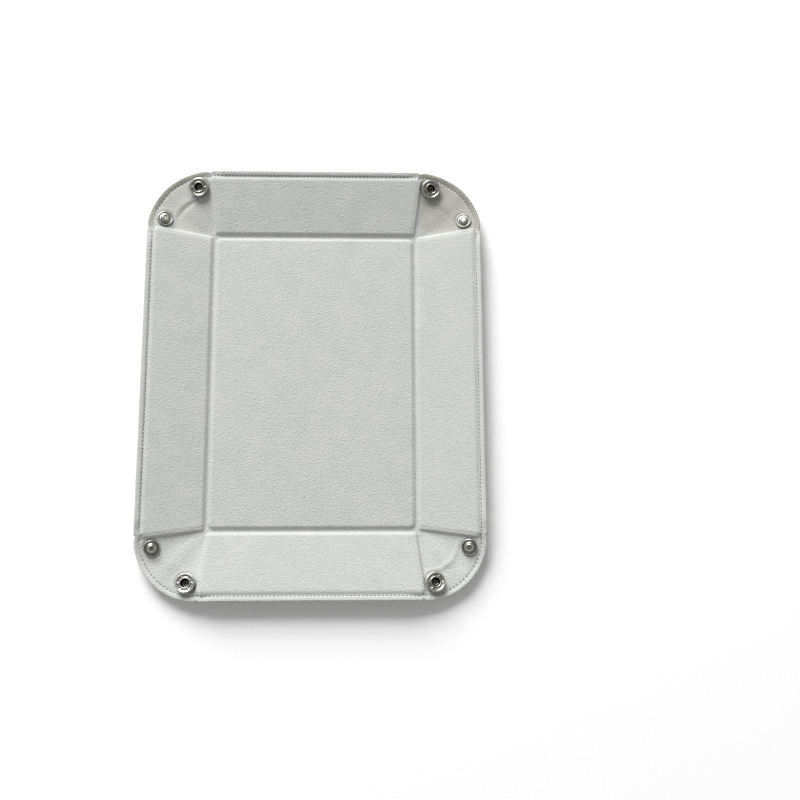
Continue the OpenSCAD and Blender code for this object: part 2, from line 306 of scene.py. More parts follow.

# %% [markdown]
# ## The lining: microfibre suede
#
# Microfibre suede is a felt of very fine polyester fibres whose face is sanded to a short nap.
# Sanding and pressing leave a soft grain of tiny hills about a millimetre apart, and the nap
# lies a little differently from patch to patch, which shows as cloudy light and dark. It is
# fully rough, with a faint sheen at grazing angles from the fibre ends. Grain: 0.95 mm. Nap
# patches: 14 mm. The single fibres are far too fine to show, so they are drawn 0.5 mm wide.
# A number at every point of a piece carries painted shade at the back corners and their rim, and painted
# light at the front corners.

# %% Microfibre suede
def suede_material():
    """Colour: cloudy patches times a grain, times the painted corner light and shade of a point
    attribute. Relief: hills from the grain, and hairs on them."""
    m, where = new_material("microfibre_suede_light_grey")
    grain = add_node(m, "TexNoise", {"Vector": where, "Scale": 1 / (0.95 * MM)})
    fibre = add_node(m, "TexNoise", {"Vector": where, "Scale": 1 / (0.5 * MM), "Roughness": 0.6})
    patches = add_node(m, "TexNoise", {"Vector": where, "Scale": 1 / (14 * MM), "Detail": 3.0,
                                       "Distortion": 0.4})
    cloudy = add_node(m, "ValToRGB", {"Fac": patches}, stops=[(0.32, "#c9cbc8"), (0.68, "#cfd0cc")])
    speckle = add_node(m, "ValToRGB", {"Fac": grain}, stops=[(0.30, 0.90), (0.60, 1.0)])
    colour = add_node(m, "Mix", {"A": cloudy, "B": speckle, "Factor": 1.0}, MULTIPLY)
    # Painted light and shade: the point attribute darkens the back corners to a warm grey and lightens the
    # front ones.
    corner_light_attribute = add_node(m, "Attribute", {}, {"attribute_name": "nap"})
    corner_light_ramp = add_node(m, "ValToRGB", {"Fac": corner_light_attribute.outputs["Fac"]},
                       stops=[(0.0, "#cfcbc2"), (0.5, "#f7f7f7"), (1.0, "#ffffff")])
    colour_with_corner_light = add_node(m, "Mix", {"A": colour, "B": corner_light_ramp, "Factor": 1.0}, MULTIPLY)
    hills = add_node(m, "Bump", {"Height": grain, "Strength": 1.0, "Distance": 0.5 * MM})
    hairs = add_node(m, "Bump", {"Height": fibre, "Normal": hills, "Strength": 0.35, "Distance": 0.12 * MM})
    shader = add_node(m, "BsdfPrincipled", {"Base Color": colour_with_corner_light, "Normal": hairs, "Roughness": 1.0,
                                            "Specular IOR Level": 0.15, "Sheen Weight": 0.12})
    add_node(m, "OutputMaterial", {"Surface": shader})
    return m


SUEDE = suede_material()
print("made", SUEDE.name)

# %% [markdown]
# ## The backing: coated cloth
#
# The underside is a knitted cloth with a soft plastic coating that was rolled with a pebble
# grain, as on a bag or a notebook. The pebbles are rounded cells about 1.1 mm across with
# narrow valleys, and the coating has a satin gloss with a lightly duller tone in the valleys.

# %% Coated cloth
def coated_material():
    """Rounded cells from a smooth Voronoi distance, slightly warped, with fine noise on top."""
    m, where = new_material("coated_cloth_pebble_grain")
    warp = add_node(m, "TexNoise", {"Vector": where, "Scale": 1 / (3 * MM)})
    shift = add_node(m, "Mix", {"A": where, "B": warp.outputs["Color"], "Factor": 0.4 * MM},
                     {"data_type": "VECTOR"})
    cells = add_node(m, "TexVoronoi", {"Vector": shift, "Scale": 1 / (1.1 * MM), "Smoothness": 0.35},
                     {"feature": "SMOOTH_F1"})
    tone = add_node(m, "ValToRGB", {"Fac": cells}, stops=[(0.25, "#c9c9c4"), (0.75, "#adada7")])
    fine = add_node(m, "TexNoise", {"Vector": where, "Scale": 1 / (0.4 * MM)})
    pebbles = add_node(m, "Bump", {"Height": cells, "Strength": 0.6, "Distance": 0.3 * MM}, {"invert": True})
    skin = add_node(m, "Bump", {"Height": fine, "Normal": pebbles, "Strength": 0.15, "Distance": 0.1 * MM})
    gloss = add_node(m, "MapRange", {"Value": cells, "From Min": 0.2, "From Max": 0.8, "To Min": 0.42,
                                     "To Max": 0.62})
    shader = add_node(m, "BsdfPrincipled", {"Base Color": tone, "Normal": skin, "Roughness": gloss,
                                            "IOR": 1.5})
    add_node(m, "OutputMaterial", {"Surface": shader})
    return m


COATED = coated_material()
CLOTHS = {"lining": SUEDE, "backing": COATED}
print("made", COATED.name)

# %% [markdown]
# ## Thread, nickel, wire and board
#
# The thread is twisted polyester: dull, with a slanted twist. The press studs are brass
# pressings with bright nickel plate, a nearly neutral silver with faint rub marks from use, and
# their hollows get a painted brownish shade where the open air hardly reaches. The grip ring is
# drawn steel wire. The boards inside are grey pulp board, and nobody sees them unless a piece is
# taken off, but they get their own finish all the same.

# %% Thread, metals and board
def grained_material(name, kind, pattern, stops, relief, finish, settings=None):
    """One pattern gives both the tone, through the ramp's stops, and the relief."""
    m, where = new_material(name)
    grain = add_node(m, kind, {"Vector": where, **pattern}, settings)
    tone = add_node(m, "ValToRGB", {"Fac": grain.outputs["Fac"]}, stops=stops)
    bumps = add_node(m, "Bump", {"Height": grain.outputs["Fac"], **relief})
    shader = add_node(m, "BsdfPrincipled", {"Base Color": tone, "Normal": bumps, **finish})
    add_node(m, "OutputMaterial", {"Surface": shader})
    return m


def metal_material(name, bright, dull, smooth, rough):
    """A metal whose tone and roughness drift a little with a coarse noise, with scratches from a
    fine one. Its tone is multiplied by a painted shade, which is dark where little is open to air."""
    m, where = new_material(name)
    rub = add_node(m, "TexNoise", {"Vector": where, "Scale": 1 / (2.5 * MM), "Detail": 5.0,
                                   "Roughness": 0.65})
    scratch = add_node(m, "TexNoise", {"Vector": where, "Scale": 1 / (0.35 * MM)})
    tone = add_node(m, "ValToRGB", {"Fac": rub}, stops=[(0.3, dull), (0.6, bright)])
    gloss = add_node(m, "MapRange", {"Value": rub, "From Min": 0.3, "From Max": 0.7, "To Min": rough,
                                     "To Max": smooth})
    # Painted shade: where ambient occlusion finds little open air, the colour goes to dark brown, and to
    # near black in the deepest hollows.
    open_air = add_node(m, "AmbientOcclusion", {"Color": tone, "Distance": 4.0 * MM}, {"samples": 8})
    hollow_painted_shade = add_node(m, "ValToRGB", {"Fac": open_air.outputs["AO"]},
                     stops=[(0.42, 0.02), (0.68, "#8f877c"), (0.92, 1.0)])
    colour = add_node(m, "Mix", {"A": tone, "B": hollow_painted_shade, "Factor": 1.0}, MULTIPLY)
    relief = add_node(m, "Bump", {"Height": scratch, "Strength": 0.03, "Distance": 0.02 * MM})
    shader = add_node(m, "BsdfPrincipled", {"Base Color": colour, "Roughness": gloss, "Normal": relief,
                                            "Metallic": 1.0})
    add_node(m, "OutputMaterial", {"Surface": shader})
    return m


# The twist is drawn as slanted bands 0.5 mm apart.
THREAD = grained_material("twisted_polyester_thread_grey", "TexWave",
                          {"Scale": 0.3 / (0.5 * MM), "Distortion": 1.0},
                          [(0.2, "#4f514e"), (0.8, "#6e706c")],
                          {"Strength": 0.4, "Distance": 0.08 * MM}, {"Roughness": 0.75, "Sheen Weight": 0.2},
                          {"bands_direction": "DIAGONAL"})
NICKEL = metal_material("bright_nickel_plate", "#c9cac4", "#b0b0a9", 0.27, 0.38)
WIRE = metal_material("drawn_steel_wire", "#b9b9b8", "#8f8f8e", 0.25, 0.4)
# Pulp board is a warm grey with flecks of darker fibre.
BOARD = grained_material("grey_pulp_board", "TexNoise",
                         {"Scale": 1 / (0.8 * MM), "Detail": 6.0, "Roughness": 0.7},
                         [(0.35, "#8c857a"), (0.6, "#a69f92")],
                         {"Strength": 0.3, "Distance": 0.1 * MM}, {"Roughness": 0.9})
for name, node in frame["nodes"].items():
    if name.endswith("_board"):
        node.data.materials.clear()
        node.data.materials.append(BOARD)
print("materials:", [m.name for m in bpy.data.materials])

# %% [markdown]
# ## How a cloth edge is shaped
#
# A few heights make up every panel. Where a board lies inside, the lining climbs over its edge
# in a soft S. Inside the rim the cloth is pressed flat, the stitches pull a shallow channel,
# and the cut edge is rounded. At a crease the stiff end of a wall carries the lining a few
# millimetres into the soft corner before it comes down. Where two panels meet, each sheet goes
# on past the fold line as a quarter circle round it: the two quarter circles hide inside each
# other when the tray is open, and they keep the joint closed at every fold angle.

# %% Heights shared by the lining and the backing
# The board lifts the lining by RISE and sinks the backing by SINK. At the rim the two cloths are
# sewn together RIM_SHIFT above the fold plane.
RISE = 1.35 * MM
SINK = 0.5 * MM
RIM_SHIFT = 1.15 * MM
BOARD_PAST = 4.0 * MM
# Where a slope over a board's edge starts and ends, inside a hinge, a crease and the rim.
HINGE_EDGE = (0.2 * MM, 3.3 * MM)
CREASE_EDGE = (0.0, 1.9 * MM)
RIM_EDGE = (1.9 * MM, 6.5 * MM)
EDGE_ROUND = 0.7 * MM
# The backing is the stiffer cloth, so the stitches pull it in less.
BACKING_SHARE = 0.6


def over_board(edges, roundness=1.3):
    """How far the cloth has climbed over a board, an S from 0 to 1. q is the distance inside an
    edge in units of that edge's slope, and near a corner of the board several q count at once:
    q = r - sqrt(sum of max(r - q_k, 0)^2), with r the roundness of the corner."""
    short = [np.maximum(roundness - (distance - near) / (far - near), 0) for distance, near, far in edges]
    short = np.stack(np.broadcast_arrays(*short))
    return step(roundness - np.sqrt((short ** 2).sum(0)))


def crown(distances, reach=9 * MM):
    """A slight swelling that fades towards the edges: 1 - exp(-nearest / reach)."""
    nearest = np.min(np.stack(np.broadcast_arrays(*distances)), 0)
    return 1 - np.exp(-np.maximum(nearest, 0) / reach)


def wall_lift(b, past, rim):
    """Height that a wall's stiff board gives the lining, above the cloth's own thickness. past is
    the distance past the crease: the cloth is drawn tight round the board's end, so it comes
    down a few millimetres past the crease and not on it."""
    end = BOARD_PAST - past
    up = over_board([(b, *HINGE_EDGE), (end, *CREASE_EDGE), (rim, *RIM_EDGE)])
    return RISE * up + 0.13 * MM * up * crown([b, end, rim])


def board_ends(p, q, rim):
    """The larger lift of the two walls beside a corner. p and q are the distances past the two
    hinge lines, measured on the flat cloth."""
    sl, cl = math.sin(SLANT), math.cos(SLANT)
    return np.maximum(wall_lift(q, (p + CUT) * cl - q * sl, rim), wall_lift(p, (q + CUT) * cl - p * sl, rim))


def panel_grid(across, along):
    """A panel's grid: the columns across it, with six more at each end for the quarter circles,
    and the rows along it. The third array says how far beyond the fold line a column lies, as a
    share of the circle's radius: minus at the first end, plus at the last, and 0 in between."""
    round_end = np.sin(np.linspace(math.pi / 2, 0, 7)[:-1])
    beyond = np.concatenate([-round_end, 0 * across, round_end[::-1]])
    across = np.concatenate([across[0] + 0 * round_end, across, across[-1] + 0 * round_end])
    across, along = np.meshgrid(across, along, indexing="ij")
    return across, along, beyond[:, None] + 0 * along


def quarter(share):
    """Height of a quarter circle at a share of its radius, as a share of it: sqrt(1 - share^2)."""
    return np.sqrt(1 - np.clip(np.abs(share), 0, 1) ** 2)


def rim_round(inside):
    """1 away from the cut edge, falling to 0 on it along a quarter circle."""
    return quarter(np.maximum(1 - inside / EDGE_ROUND, 0))


def stitch_channel(inside):
    """The shallow channel that the stitches pull into the cloth."""
    return 0.28 * MM * bump(inside - STITCH_IN, 0.75 * MM)


print("a lining edge 0.3 mm from the cut is", round(float(rim_round(0.3 * MM)), 2), "of its full height")

# %% [markdown]
# ## From heights to pieces of cloth
#
# Every panel's cloth is made the same way: two grids of points, closed round their borders. The
# real cloth was cut flat, so its cut size is measured on the flat points, before they are folded.
# Painted light at the front corners and painted shade at the back ones, darkest along their rim,
# are stored as a number at every point, which the suede's material reads.

# %% Painted corner light and shade, and pieces of cloth
cuts = {}


def paint_corner_light_and_shade(piece):
    """Painted light and shade as an attribute: 0.5 on the panels, higher for painted light at the
    front corners, lower for a warm grey painted shade at the back ones, most of all along their
    rim."""
    points = np.empty(len(piece.data.vertices) * 3, np.float32)
    piece.data.vertices.foreach_get("co", points)
    x, y = points[::3], points[1::3]
    past_x, past_y = np.abs(x) - HALF_W, np.abs(y) - HALF_L
    corner = step(past_x / (7 * MM)) * step(past_y / (7 * MM))
    rim = step((np.hypot(past_x - ARC, past_y - ARC) - CORNER_R + 3.9 * MM) / (1.2 * MM))
    # Painted shade at the back corners, deeper on the right and along the rim; painted light at the front
    # ones.
    corner_shade_depth = np.where(x > 0, 0.30, 0.13) + 0.35 * rim
    nap = np.clip(0.5 + corner * np.where(y > 0, -corner_shade_depth, 0.5), 0, 1)
    corner_light_attribute = piece.data.attributes.new("nap", "FLOAT", "POINT")
    corner_light_attribute.data.foreach_set("value", nap.astype(np.float32))


def cloth_piece(slot, body, face, under):
    """A closed cloth between two grids of points, with its material, its slot and its painted corner light
    and shade.
    """
    piece = mesh_object(f"{slot}_{body}", *closed_skin(face, under))
    piece.data.materials.append(CLOTHS[slot])
    paint_corner_light_and_shade(piece)
    return piece


def sheet_piece(slot, body, board, a, b, top, bottom):
    """A cloth between two heights over the same flat points. It rides on its body and stands
    for that body's plain solid. Its flat cut is measured on the flat points."""
    piece = cloth_piece(slot, body, placed(board, a, b, top), placed(board, a, b, bottom))
    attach(piece, body)
    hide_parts(f"{body}_{slot}")
    da, db = np.diff(a, axis=0), np.diff(b, axis=0)
    ea, eb = np.diff(a, axis=1), np.diff(b, axis=1)
    area = float(np.abs(da[:, :-1] * eb[:-1] - db[:, :-1] * ea[:-1]).sum())
    cuts[piece.name] = ((float(np.ptp(a)), float(np.ptp(b))), area)
    return piece


print("cloths:", {slot: material.name for slot, material in CLOTHS.items()})

# %% [markdown]
# ## The floor panel
#
# The floor's outline is a rectangle with its corners cut off at 45 degrees, where the middle
# folds are hinged. The grid is as wide as the outline at each height, so its border follows
# the cut corners. The edge columns are fine because the shoulders are only two millimetres
# wide, and the middle is coarse because it is nearly flat.

# %% Floor lining and backing
STRIP = 1.2 * MM


def floor_over(x, y):
    """The climb over the floor's board between its four hinges, and the same with a swelling."""
    across, along = HALF_W - np.abs(x), HALF_L - np.abs(y)
    up = over_board([(across, *HINGE_EDGE), (along, *HINGE_EDGE)], 1.4)
    return up, up + 0.1 * crown([across, along])


def floor_sheet(slot):
    """x = X(y) * s with X(y) the half width at y, heights from the board's edges."""
    y = ticks(2 * (HALF_L - STRIP), 9 * MM, 0.3 * MM, 4 * MM) - (HALF_L - STRIP)
    s = ticks(2, 0.14, 0.0047, 0.062) - 1
    s, y = np.meshgrid(s, y, indexing="ij")
    x = s * np.minimum(HALF_W - STRIP, HALF_W + HALF_L - CUT - STRIP * ROOT2 - np.abs(y))
    up, high = floor_over(x, y)
    if slot == "lining":
        top = CLOTH + RISE * high
        return x, y, top, np.maximum(0, top - CLOTH)
    low = -CLOTH - SINK * up
    return x, y, np.minimum(0, low + CLOTH), low


for slot in CLOTHS:
    made = sheet_piece(slot, "floor", FLOOR, *floor_sheet(slot))
    print(made.name, "points:", len(made.data.vertices))

# %% [markdown]
# ## The wall panels
#
# A wall is a trapezium: its ends are the slanted creases. It starts a little above its hinge,
# where the hinge strip takes over, and its top edge is the stitched rim. The ends run past the
# creases by one cloth thickness, as the quarter circles described above.

# %% Wall linings and backings
ACROSS = ticks(2, 0.12, 0.0047, 0.062) - 1


def wall_heights(a, b, half):
    """Lining face, its underside, the backing's upper side and the backing face of a wall.
    Between the hinge and the rim the board lifts the lining. Outside the board the two cloths
    are sewn together halfway up the board's edge, and go down to the fold plane at the ends."""
    crease = (half - CUT + b * TAN_SLANT - np.abs(a)) * math.cos(SLANT)
    rim = WALL - b
    board = over_board([(b, *HINGE_EDGE), (crease, *CREASE_EDGE), (rim, *RIM_EDGE)])
    sewn = RIM_SHIFT * step(1 - (rim - RIM_EDGE[0]) / (RIM_EDGE[1] - RIM_EDGE[0])) * step(crease / (9 * MM))
    top = CLOTH + np.maximum(wall_lift(b, -crease, rim), sewn)
    low = -CLOTH + sewn - SINK * board
    channel = stitch_channel(rim)
    return (top - channel, top - CLOTH, np.minimum(low + CLOTH, top - CLOTH),
            low + BACKING_SHARE * channel)


def wall_sheet(wall, slot):
    """a = U(b) * s with U(b) the half length at b, and quarter circles added at both ends."""
    half = wall_board(wall)["half"]
    s, b, beyond = panel_grid(ACROSS, STRIP + ticks(WALL - STRIP, 8 * MM, 0.3 * MM, 2.2 * MM))
    a = s * (half - CUT + b * TAN_SLANT)
    top, under, over, low = wall_heights(a, b, half)
    middle = (under + over) / 2
    face = middle + ((top if slot == "lining" else low) - middle) * rim_round(WALL - b)
    a = a + beyond * np.abs(face) / math.cos(SLANT)
    face = face * quarter(beyond)
    if slot == "lining":
        return a, b, face, np.where(beyond, 0, np.minimum(under, face))
    return a, b, np.where(beyond, 0, np.maximum(over, face)), face


for wall in TURNS:
    for slot in CLOTHS:
        made = sheet_piece(slot, "wall_" + wall, wall_board(wall), *wall_sheet(wall, slot))
        print(made.name, "points:", len(made.data.vertices))

# %% [markdown]
# ## The hinge strips
#
# Between the floor and a wall there is no board, only the two cloths lying on each other, and
# they bend. A strip 2.4 mm wide crosses the hinge.

# %% Hinge strips
# The tangent of 22.5 degrees: the floor's corners are cut off at 45, and the strips of cloth on
# both sides of the cut meet halfway.
TAN_CUT = 0.414
TUCK = 0.15 * MM


def wrap(along, h, fold):
    """A point's place and height after a turn about the hinge, by a share of the fold that goes
    from 0 to 1 across the strip: fold * step((along + strip) / (2 strip))."""
    turn = step((along + STRIP) / (2 * STRIP)) * fold
    return along * np.cos(turn) - h * np.sin(turn), along * np.sin(turn) + h * np.cos(turn)


def hinge_strip(wall, slot):
    """A strip along a hinge: a = ends(b) * s, heights over both boards' edges, then wrapped."""
    lining = slot == "lining"
    sign, rise, past = (1, RISE, BOARD_PAST) if lining else (-1, SINK, 0)
    b = np.concatenate([[-1.6 * MM], np.linspace(-STRIP, STRIP, 17), [1.6 * MM]])
    half = wall_board(wall)["half"]
    ends = half - CUT + np.where(b < 0, TAN_CUT * b, b * TAN_SLANT) + 0.5 * MM
    s, b = np.meshgrid(ACROSS, b, indexing="ij")
    a = s * ends
    on_floor = b < 0
    inside = np.where(on_floor, half, half - CUT + b * TAN_SLANT + past) - np.abs(a)
    near, far = (np.where(on_floor, *pair) for pair in zip(HINGE_EDGE, CREASE_EDGE))
    up = over_board([(np.abs(b), *HINGE_EDGE), (inside, near, far)])
    height = sign * (CLOTH + rise * up - np.where(np.abs(b) > STRIP * 1.01, TUCK, 0))
    flat = wall_board(wall, 0)
    piece = cloth_piece(slot, "hinge_" + wall, *(
        placed(flat, a, *wrap(b, h, WALL_FOLD)) for h in (height, 0 * b)))
    placed(flat, 0.0, -STRIP, 0.0)
    placed(wall_board(wall), 0.0, STRIP, 0.0)
    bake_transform(piece)
    return piece


for wall in TURNS:
    for slot in CLOTHS:
        made = hinge_strip(wall, slot)
        print(made.name, "points:", len(made.data.vertices))

# %% [markdown]
# ## The soft corners
#
# A corner has no board, so it shows what the cloth does by itself. Each time the corner is
# snapped shut it buckles across, between the press studs, and that leaves a short crease when
# it lies open; it also lifts its stitched edge a little. Both are heights over the flat corner,
# given in the corner's own directions: t outwards along the diagonal from where the hinge
# lines meet, and w across it. They have to be the same function for the two halves and for the
# strip between them, or the cloth would step where they meet.

# %% Shape of the soft corners
# Of each buckle: its depth in mm, its place along the diagonal, its width and length, and how far
# it bends. Of each edge: how far it lifts, in mm.
HABIT = {"bl": (-0.75, 26.5, 1.3, 8.5, -2.0), "br": (-0.40, 25.5, 1.5, 9.0, -1.0),
         "fl": (0.22, 27.0, 3.0, 8.0, -1.0), "fr": (0.55, 27.5, 1.6, 10.0, -3.0)}
EDGE_LIFT = {"bl": 0.9, "br": 0.9, "fl": 0.7, "fr": 0.7}
SNAP_REACH = 35 * MM
SNAP_TURN = math.radians(16)
SNAP_AT = (SNAP_REACH * math.sin(SLANT + SNAP_TURN), SNAP_REACH * math.cos(SLANT + SNAP_TURN))


def soft_corner(corner, t, w, inside):
    """Height of the buckle, the fullness of the cloth round it, and the lift of the edge."""
    depth, place, width, length, bend = (value * MM for value in HABIT[corner])
    from_line = t - place - bend * (w / (10 * MM)) ** 2
    buckle = bump(from_line, width) - 0.45 * bump(from_line - 2.2 * width, 2.0 * width)
    full = 0.8 * MM * step(t / (18 * MM)) * bump(w, 9 * MM)
    lift = EDGE_LIFT[corner] * MM * step(1 - inside / (4.5 * MM)) * bump(w, 19 * MM)
    return depth * buckle * bump(w, length) + full + lift * (1 - 0.55 * bump(w, 6 * MM))


def along_across(a, b):
    """A corner half's flat point in the corner's own directions: t along, w across."""
    return (a - CUT + b) / ROOT2, (b - a + CUT) / ROOT2


def soft_turn(a, b):
    """A half bends to meet the middle fold without an edge: h = -turn * x * (1 - x / width) at a
    distance x from the middle fold, with width the whole half's at that distance out."""
    x = np.maximum((b - a) / ROOT2, 0)
    width = np.hypot(a, b) * math.sin(math.pi / 4 - SLANT) + 1e-9
    return -MIDDLE_TURN * x * (1 - np.minimum(x / width, 1))


def rim_reach(angle, inset=0.0):
    """Distance from the crease's lower end to the rim along a ray. angle is from b towards a.
    The rim is the straight top edge and then an arc of the corner radius."""
    straight = (WALL - inset) / np.cos(angle)
    cx, cy = CUT + ARC, ARC
    along = np.sin(angle) * cx + np.cos(angle) * cy
    arc = along + np.sqrt(along ** 2 - cx ** 2 - cy ** 2 + (CORNER_R - inset) ** 2)
    return np.where(straight * np.sin(angle) <= cx, straight, arc)


def rim_inside(a, b):
    """Distance of a point of a corner half from the rim."""
    cx, cy = CUT + ARC, ARC
    return np.where(a <= cx, WALL - b, CORNER_R - np.hypot(a - cx, b - cy))


print("rim from the crease's foot:", np.round(rim_reach(np.radians([8, 20, 45])) / MM, 1), "mm")

# %% [markdown]
# ## The corner halves
#
# A half is a fan: rays from the crease's lower end, out to the rim. The first and last rays are
# the crease and the middle fold, and there the quarter circles are added. The press stud pulls
# the cloth flat under its flange and puffs it up slightly around it.

# %% Corner half linings and backings
FLANGE = {"a": 6.1 * MM, "b": 5.0 * MM}


def notch(angle):
    """How far the rim dips in where a crease reaches it."""
    return 0.9 * MM * bump(angle - SLANT, math.radians(5))


def near_crease(angle):
    """1 in a corner half, falling to 0.1 on the crease, so that the half meets the wall there."""
    return 1 - 0.9 * bump(angle - SLANT, math.radians(3))


def half_sheet(corner, which, slot):
    """Rays at even angles times distances along them. Heights as for a soft corner."""
    lining = slot == "lining"
    angle, share, beyond = panel_grid(np.linspace(SLANT, math.pi / 4, 52), ticks(1, 0.16, 0.009, 0.014))
    reach = rim_reach(angle)
    out = 0.25 * MM + share * (reach - 0.25 * MM)
    a, b = out * np.sin(angle), out * np.cos(angle)
    inside = rim_inside(a, b)
    past_flange = np.hypot(a - SNAP_AT[0], b - SNAP_AT[1]) - FLANGE[which]
    form = soft_corner(corner, *along_across(a, b), inside) * step(past_flange / (2.5 * MM))
    form = form + 0.22 * MM * bump(past_flange - 1.6 * MM, 1.4 * MM)
    form = form * step(share * 4) * near_crease(angle) + soft_turn(a, b)
    full = CLOTH - stitch_channel(inside) * (1 if lining else BACKING_SHARE)
    if lining:
        full = full + board_ends(a - CUT, b, inside) * step((past_flange + 0.3 * MM) / (1.3 * MM))
    full = full * rim_round(inside)
    out = out * (1 - notch(angle) / reach * step(share * 1.5 - 0.5))
    a = out * np.sin(angle) + beyond * full * np.cos(angle)
    b = out * np.cos(angle) - beyond * full * np.sin(angle)
    face = full * quarter(beyond)
    return (a, b, form + face, form) if lining else (a, b, form, form - face)


for corner, (halves, sx, sy) in CORNERS.items():
    for which, half in halves.items():
        for slot in CLOTHS:
            made = sheet_piece(slot, f"gusset_{which}_{corner}", half_board(*half),
                               *half_sheet(corner, which, slot))
print("corner halves: 8 of each cloth, points:", len(made.data.vertices))

# %% [markdown]
# ## The middle folds
#
# Between the halves runs a strip as wide as two halves need between them when they lie face to
# face with a press stud in the middle. It is hinged on the floor's cut corner, where it bends
# like the hinge strips, and it carries quarter circles along both sides.

# %% Middle fold linings and backings
SPINE_HALF = CUT / ROOT2
ARC_AT = ROOT2 * ARC + SPINE_HALF


def spine_sheet(corner, slot):
    """a outwards along the diagonal, b across, heights as for the soft corner beside it."""
    lining = slot == "lining"
    share = np.concatenate([np.linspace(0, 0.1, 16)[:-1], 0.1 + 0.9 * ticks(1, 0.12, 0.009, 0.02)])
    s, share, beyond = panel_grid(np.linspace(-1, 1, 17), share)
    across = s * SPINE_HALF
    start = -1.7 * MM
    a = start + share * (ARC_AT + np.sqrt(CORNER_R ** 2 - across ** 2) - start)
    b = across * np.where(a < 0, 1 + TAN_CUT * a / SPINE_HALF, 1)
    inside = CORNER_R - np.hypot(a - ARC_AT, across)
    form = soft_corner(corner, a - SPINE_HALF, across, inside) * step(a / (8 * MM))
    p, q = (a - b) / ROOT2 - CUT / 2, (a + b) / ROOT2 - CUT / 2
    rise = floor_over(HALF_W + p, HALF_L + q)[0] * (RISE if lining else SINK)
    if lining:
        rise = np.maximum(rise, board_ends(p, q, inside))
    full = CLOTH + rise - stitch_channel(inside) * (1 if lining else BACKING_SHARE)
    full = (full - np.where(a < -STRIP * 1.01, TUCK, 0)) * rim_round(inside)
    b = b + beyond * full
    face = full * quarter(beyond)
    return (a, b, form + face, form) if lining else (a, b, form, form - face)


def spine_piece(corner, sx, sy, slot):
    """The strip, wrapped about its hinge on the floor's cut corner."""
    a, b, *heights = spine_sheet(corner, slot)
    flat = spine_board(sx, sy, 0)
    turned_up = [wrap(a, h, SPINE_FOLD) for h in heights]
    piece = cloth_piece(slot, "spine_" + corner, *(placed(flat, out, b, up) for out, up in turned_up))
    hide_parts(f"spine_{corner}_{slot}")
    placed(flat, -STRIP, 0.0, 0.0)
    placed(spine_board(sx, sy), STRIP, 0.0, 0.0)
    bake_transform(piece)
    return piece


for corner, (halves, sx, sy) in CORNERS.items():
    for slot in CLOTHS:
        made = spine_piece(corner, sx, sy, slot)
        print(made.name, "points:", len(made.data.vertices))

# %% [markdown]
# ## The stitching
#
# One lockstitch runs all round, 3.3 mm in from the edge. Seen from above, each stitch is a
# short bar of thread that comes up through one hole and goes down through the next, lying a few
# degrees askew to the line, and the same on the other side. A row is one array: all stitches,
# the rings along each of them, and the points round each ring.

# %% Stitch rows
LIFT_OFF = 0.14 * MM
THREAD_R = 0.215 * MM


def stitch_grid(line, sign):
    """Bars along a polyline of flat points (a, b): n = length / pitch bars, each a tube whose
    ends dip by 0.34 mm * |s|^3 and whose thickness follows sqrt(1 - 0.97 s^8). Each lies a
    little askew, by an amount and at a height that vary as sines of its place."""
    leg = np.hypot(*np.diff(line, axis=0).T)
    length = np.concatenate([[0], np.cumsum(leg)])
    count = max(1, round(length[-1] / STITCH_PITCH))
    centre = ((np.arange(count) + 0.5) * length[-1] / count)[:, None]
    s = np.linspace(-1, 1, 9)
    at = np.clip(centre + s * 0.37 * STITCH_PITCH, 0, length[-1])
    a = np.interp(at, length, line[:, 0])
    b = np.interp(at, length, line[:, 1])
    slope = np.stack([np.gradient(a, axis=1), np.gradient(b, axis=1)], -1)
    slope = slope / np.linalg.norm(slope, axis=-1, keepdims=True)
    skew = 0.09 * MM * s * (1 + 0.3 * np.sin(centre * 7919))
    height = LIFT_OFF - 0.34 * MM * np.abs(s) ** 3 + 0.03 * MM * np.sin(centre * 5113)
    thick = (THREAD_R * np.sqrt(1 - 0.97 * np.abs(s) ** 8))[:, None]
    ring = np.linspace(0, 2 * math.pi, 7)
    off = skew[..., None] + thick * np.cos(ring)
    ga = a[..., None] - slope[..., 1:2] * off
    gb = b[..., None] + slope[..., 0:1] * off
    return ga, gb, sign * (height[..., None] + thick * np.sin(ring) * 0.8)


def tube_faces(count, rings, around):
    """Faces of count separate tubes, each closed by faces across its first and last ring."""
    caps = np.array([[0, 1, 2, 3], [0, 3, 4, 5]])
    one = np.concatenate([grid_faces(rings, around), caps, caps + (rings - 1) * around])
    return (one[None] + (np.arange(count) * rings * around)[:, None, None]).reshape(-1, 4)


def stitched(body, board, line, faces_at):
    """Both rows of a body: over the lining and under the backing. faces_at gives the heights of
    the two faces at a flat point."""
    points, faces, used = [], [], 0
    for side, sign in ((0, 1), (1, -1)):
        ga, gb, gh = stitch_grid(line, sign)
        points.append(placed(board, ga, gb, faces_at(ga, gb)[side] + gh).reshape(-1, 3))
        faces.append(tube_faces(*ga.shape) + used)
        used += len(points[-1])
    piece = mesh_object("thread_" + body, np.concatenate(points), np.concatenate(faces), sharp=80)
    piece.data.materials.append(THREAD)
    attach(piece, body)
    return piece


for wall in TURNS:
    board = wall_board(wall)
    end = board["half"] - CUT + (WALL - STITCH_IN) * TAN_SLANT
    line = np.stack([np.linspace(-end, end, 200), np.full(200, WALL - STITCH_IN)], -1)
    made = stitched("wall_" + wall, board, line,
                    lambda a, b, half=board["half"]: wall_heights(a, b, half)[::3])
    print(made.name, "faces:", len(made.data.polygons))

# %% Stitches of the soft corners
FLAT_ROUND_STUD = 5.5 * MM


